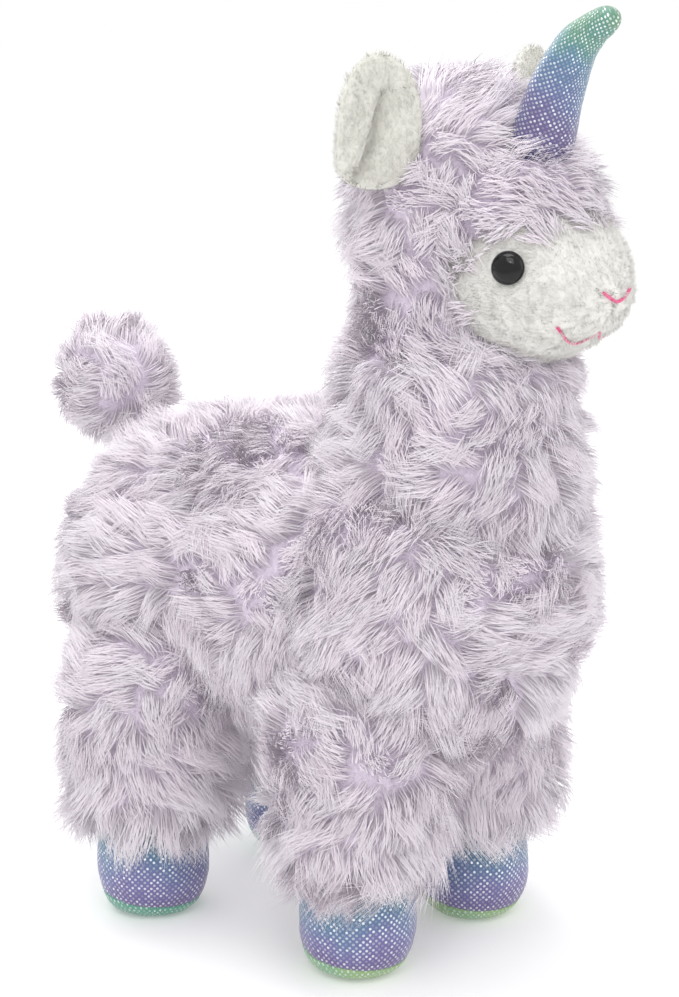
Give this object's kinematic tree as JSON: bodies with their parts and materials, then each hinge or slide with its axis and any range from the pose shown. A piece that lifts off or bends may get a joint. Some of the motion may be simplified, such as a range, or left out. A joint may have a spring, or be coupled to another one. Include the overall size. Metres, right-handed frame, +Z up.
{
  "type": "plush unicorn",
  "caption": "Stuffed long-necked unicorn standing on padded hooves, shaggy fur body, smooth white face, soft horn and round tail.",
  "frame": {"origin": "on the floor, under the middle of the toy's bounding box", "axes": "the toy faces -Y, its left side is +X, +Z is up"},
  "size_m": [0.1312, 0.2289, 0.3074],
  "materials": {
    "lilac_fur": "long shaggy pile",
    "white_plush": "short dense pile",
    "dotted_cloth": "stretch cloth with small shiny dots",
    "sole_cloth": "shimmering stretch cloth",
    "eye_plastic": "polished",
    "washer_plastic": "moulded",
    "pink_thread": "satin embroidery thread",
    "stuffing": "loose polyester fibre"
  },
  "bodies": {
    "body": {"belly_gusset": "lilac_fur", "body_fur_left": "lilac_fur", "body_fur_right": "lilac_fur", "body_stuffing": "stuffing"},
    "neck": {"neck_fur": "lilac_fur", "neck_stuffing": "stuffing"},
    "head": {"head_fur_left": "lilac_fur", "head_fur_right": "lilac_fur", "face_left": "white_plush", "face_right": "white_plush", "head_stuffing": "stuffing", "eye_left": "eye_plastic", "eye_right": "eye_plastic", "eye_washer_left": "washer_plastic", "eye_washer_right": "washer_plastic", "nose_stitching": "pink_thread", "mouth_stitching": "pink_thread"},
    "ear_left": {"ear_front_left": "white_plush", "ear_back_left": "white_plush"},
    "ear_right": {"ear_front_right": "white_plush", "ear_back_right": "white_plush"},
    "horn": {"horn_cover": "dotted_cloth", "horn_stuffing": "stuffing"},
    "tail": {"tail_fur": "lilac_fur", "tail_stuffing": "stuffing"},
    "leg_front_left": {"leg_fur_front_left": "lilac_fur", "leg_stuffing_front_left": "stuffing", "hoof_cover_front_left": "dotted_cloth", "hoof_stuffing_front_left": "stuffing", "hoof_sole_front_left": "sole_cloth"},
    "leg_front_right": {"leg_fur_front_right": "lilac_fur", "leg_stuffing_front_right": "stuffing", "hoof_cover_front_right": "dotted_cloth", "hoof_stuffing_front_right": "stuffing", "hoof_sole_front_right": "sole_cloth"},
    "leg_rear_left": {"leg_fur_rear_left": "lilac_fur", "leg_stuffing_rear_left": "stuffing", "hoof_cover_rear_left": "dotted_cloth", "hoof_stuffing_rear_left": "stuffing", "hoof_sole_rear_left": "sole_cloth"},
    "leg_rear_right": {"leg_fur_rear_right": "lilac_fur", "leg_stuffing_rear_right": "stuffing", "hoof_cover_rear_right": "dotted_cloth", "hoof_stuffing_rear_right": "stuffing", "hoof_sole_rear_right": "sole_cloth"}
  },
  "joints": [
    {"name": "neck_lean", "type": "hinge", "parent": "body", "child": "neck", "pos_m": [0, -0.0576, 0.165], "axis": [1, 0, 0], "range_deg": [-8, 8], "stiffness_Nm_per_rad": 0.6},
    {"name": "head_turn", "type": "hinge", "parent": "neck", "child": "head", "pos_m": [0, -0.0576, 0.2], "axis": [0, 0, 1], "range_deg": [-20, 20], "stiffness_Nm_per_rad": 0.15},
    {"name": "ear_fold_left", "type": "hinge", "parent": "head", "child": "ear_left", "pos_m": [0.0374, -0.0564, 0.255], "axis": [0.6691, 0.7431, 0], "range_deg": [0, 25], "stiffness_Nm_per_rad": 0.01},
    {"name": "ear_fold_right", "type": "hinge", "parent": "head", "child": "ear_right", "pos_m": [-0.0374, -0.0564, 0.255], "axis": [0.6691, -0.7431, 0], "range_deg": [0, 25], "stiffness_Nm_per_rad": 0.01},
    {"name": "horn_flex", "type": "hinge", "parent": "head", "child": "horn", "pos_m": [0, -0.0846, 0.268], "axis": [1, 0, 0], "range_deg": [-6, 8], "stiffness_Nm_per_rad": 0.05},
    {"name": "tail_bob", "type": "hinge", "parent": "body", "child": "tail", "pos_m": [0, 0.078, 0.152], "axis": [1, 0, 0], "range_deg": [-12, 12], "stiffness_Nm_per_rad": 0.05},
    {"name": "hip_front_left", "type": "hinge", "parent": "body", "child": "leg_front_left", "pos_m": [0.031, -0.0432, 0.08], "axis": [1, 0, 0], "range_deg": [-8, 8], "stiffness_Nm_per_rad": 0.6},
    {"name": "hip_front_right", "type": "hinge", "parent": "body", "child": "leg_front_right", "pos_m": [-0.031, -0.0432, 0.08], "axis": [1, 0, 0], "range_deg": [-8, 8], "stiffness_Nm_per_rad": 0.6},
    {"name": "hip_rear_left", "type": "hinge", "parent": "body", "child": "leg_rear_left", "pos_m": [0.0376, 0.0428, 0.08], "axis": [1, 0, 0], "range_deg": [-8, 8], "stiffness_Nm_per_rad": 0.6},
    {"name": "hip_rear_right", "type": "hinge", "parent": "body", "child": "leg_rear_right", "pos_m": [-0.0376, 0.0428, 0.08], "axis": [1, 0, 0], "range_deg": [-8, 8], "stiffness_Nm_per_rad": 0.6}
  ]
}
